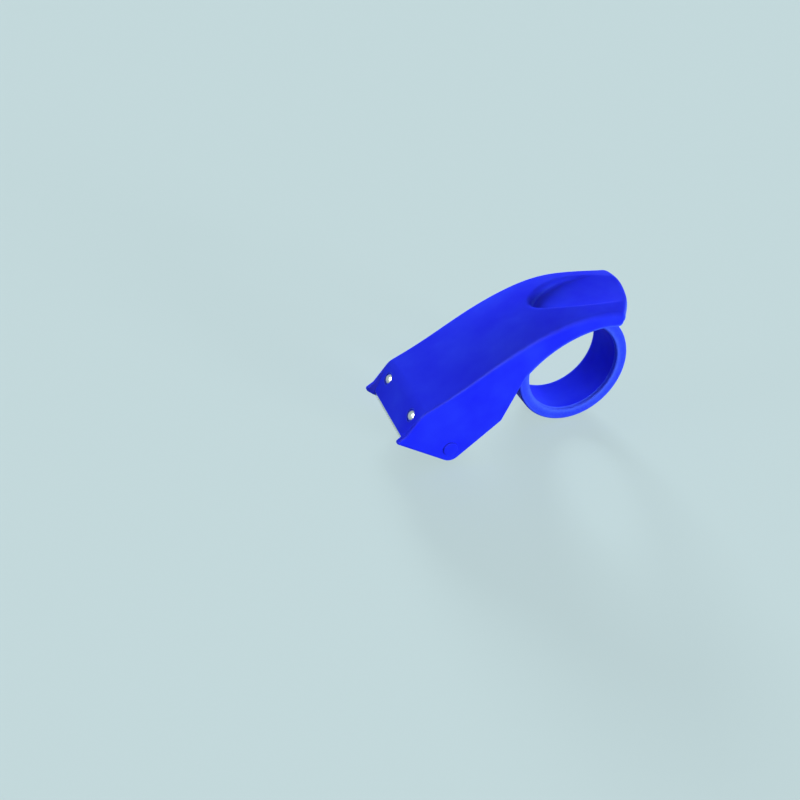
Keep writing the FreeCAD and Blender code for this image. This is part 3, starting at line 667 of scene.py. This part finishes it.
class DISPENSER_OT_stage(bpy.types.Operator):
    """Builds the flat floor, the lamps, the sky and the camera"""

    bl_idname = "dispenser.build_stage"
    bl_label = "Build Stage"

    def execute(self, context):
        look = context.scene.dispenser_stage
        self.build_floor(look)
        self.build_lamps(look)
        self.build_world(look)
        self.build_camera(look)
        context.scene.view_settings.view_transform = "Standard"
        return {"FINISHED"}

    def build_floor(self, look):
        """A flat round floor. Seen by the camera or in a reflection, most of its colour is unlit."""
        reach = 12.0
        clearance = 0.02 * MM
        turn = np.linspace(0.0, 2.0 * np.pi, 96, endpoint=False)
        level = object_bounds()[0].z - clearance
        points = np.stack([reach * np.cos(turn), reach * np.sin(turn), np.full_like(turn, level)], -1)
        mesh = bpy.data.meshes.new("stage_floor")
        mesh.from_pydata(points, [], [list(range(len(turn)))])
        finish = Finish("stage_floor_finish")
        lit = rgba(tuple(value * look.shadow for value in look.floor))
        finish.set(Base_Color=lit, Roughness=0.9, Specular_IOR_Level=0.0)
        finish.set(Emission_Color=rgba(tuple(look.floor)))
        finish.set(Emission_Strength=finish.math("MULTIPLY", seen_directly(finish.tree), 1.0 - look.shadow))
        finish.set(Normal=finish.bump(finish.noise(FLOOR_GRAIN_CELLS, 3.0, 0.6), FLOOR_GRAIN_HEIGHT, 0.3))
        mesh.materials.append(finish.material)
        floor = bpy.data.objects.new("stage_floor", mesh)
        bpy.context.scene.collection.objects.link(floor)
        floor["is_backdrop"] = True

    def build_lamps(self, look):
        """Far, wide and soft lamps. The low ones leave no shine, and the shine lamp leaves nothing else."""
        lamps = (("front_lamp", (0.50, -0.86, 0.08), 18.0, look.front_level, True, False),
                 ("back_lamp", (0.15, 0.93, 0.32), 18.0, look.back_level, True, False),
                 ("side_lamp", (-0.98, -0.05, 0.10), 18.0, look.side_level, True, False),
                 ("shine_lamp", (-0.50, -0.55, 0.67), 50.0, look.shine_level, False, True))
        for name, side, width, level, lights, shines in lamps:
            lamp = bpy.data.lights.new(name, "SUN")
            lamp.angle = math.radians(width)
            lamp.energy = level * math.pi
            holder = bpy.data.objects.new(name, lamp)
            bpy.context.scene.collection.objects.link(holder)
            holder.location = side
            holder.rotation_euler = Vector(side).to_track_quat("Z", "Y").to_euler()
            holder.visible_diffuse = lights
            holder.visible_glossy = shines

    def build_world(self, look):
        """An even sky. Seen by the camera or in a reflection, it has the floor's own colour."""
        world = bpy.data.worlds.new("even_light")
        world.use_nodes = True
        tree = world.node_tree
        light = tree.nodes["Background"]
        light.inputs["Color"].default_value = SKY_COLOUR
        light.inputs["Strength"].default_value = look.sky
        view = tree.nodes.new("ShaderNodeBackground")
        view.inputs["Color"].default_value = rgba(tuple(look.floor))
        mix = tree.nodes.new("ShaderNodeMixShader")
        tree.links.new(seen_directly(tree), mix.inputs["Fac"])
        tree.links.new(light.outputs[0], mix.inputs[1])
        tree.links.new(view.outputs[0], mix.inputs[2])
        tree.links.new(mix.outputs[0], tree.nodes["World Output"].inputs["Surface"])
        bpy.context.scene.world = world

    def build_camera(self, look):
        """The camera fitted to the photo, from its place and its three axes."""
        camera = bpy.data.cameras.new("photo_view")
        camera.sensor_width = 36.0
        camera.lens = look.lens
        camera.shift_x = -0.06
        camera.shift_y = -0.025
        camera.clip_start = 0.01
        camera.clip_end = 20.0
        holder = bpy.data.objects.new("photo_view", camera)
        bpy.context.scene.collection.objects.link(holder)
        right = (0.92144, -0.37064, 0.11656)
        up = (0.10154, 0.51929, 0.84854)
        back = (-0.37504, -0.77004, 0.51613)
        turn = Matrix((right, up, back)).transposed().to_4x4()
        holder.matrix_world = Matrix.Translation((-0.27394, -0.39081, 0.26200)) @ turn
        bpy.context.scene.camera = holder


class DISPENSER_PT_panel(bpy.types.Panel):
    """The dispenser's settings and steps"""

    bl_idname = "DISPENSER_PT_panel"
    bl_label = "Dispenser"
    bl_space_type = "VIEW_3D"
    bl_region_type = "UI"
    bl_category = "Dispenser"

    def draw(self, context):
        column = self.layout.column()
        for name, group in GROUPS:
            settings = getattr(context.scene, name)
            box = column.box()
            for field in group.__annotations__:
                box.prop(settings, field)
        for operator in OPERATORS:
            column.operator(operator.bl_idname)


OPERATORS = (DISPENSER_OT_body, DISPENSER_OT_blade, DISPENSER_OT_screws, DISPENSER_OT_rollers,
             DISPENSER_OT_stage)
CLASSES = tuple(group for _, group in GROUPS) + OPERATORS + (DISPENSER_PT_panel,)


def register():
    """Registers the classes, and gives each scene a copy of the settings."""
    for cls in CLASSES:
        bpy.utils.register_class(cls)
    for name, group in GROUPS:
        setattr(bpy.types.Scene, name, PointerProperty(type=group))


def unregister():
    """Takes the settings and the classes away again."""
    for name, _ in GROUPS:
        delattr(bpy.types.Scene, name)
    for cls in reversed(CLASSES):
        bpy.utils.unregister_class(cls)


def main():
    """Dresses the model step by step."""
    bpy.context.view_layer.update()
    register()
    bpy.ops.dispenser.finish_body()
    bpy.ops.dispenser.finish_blade()
    bpy.ops.dispenser.build_screws()
    bpy.ops.dispenser.finish_rollers()
    bpy.ops.dispenser.build_stage()
    bpy.context.view_layer.update()


if __name__ == "__main__":
    main()
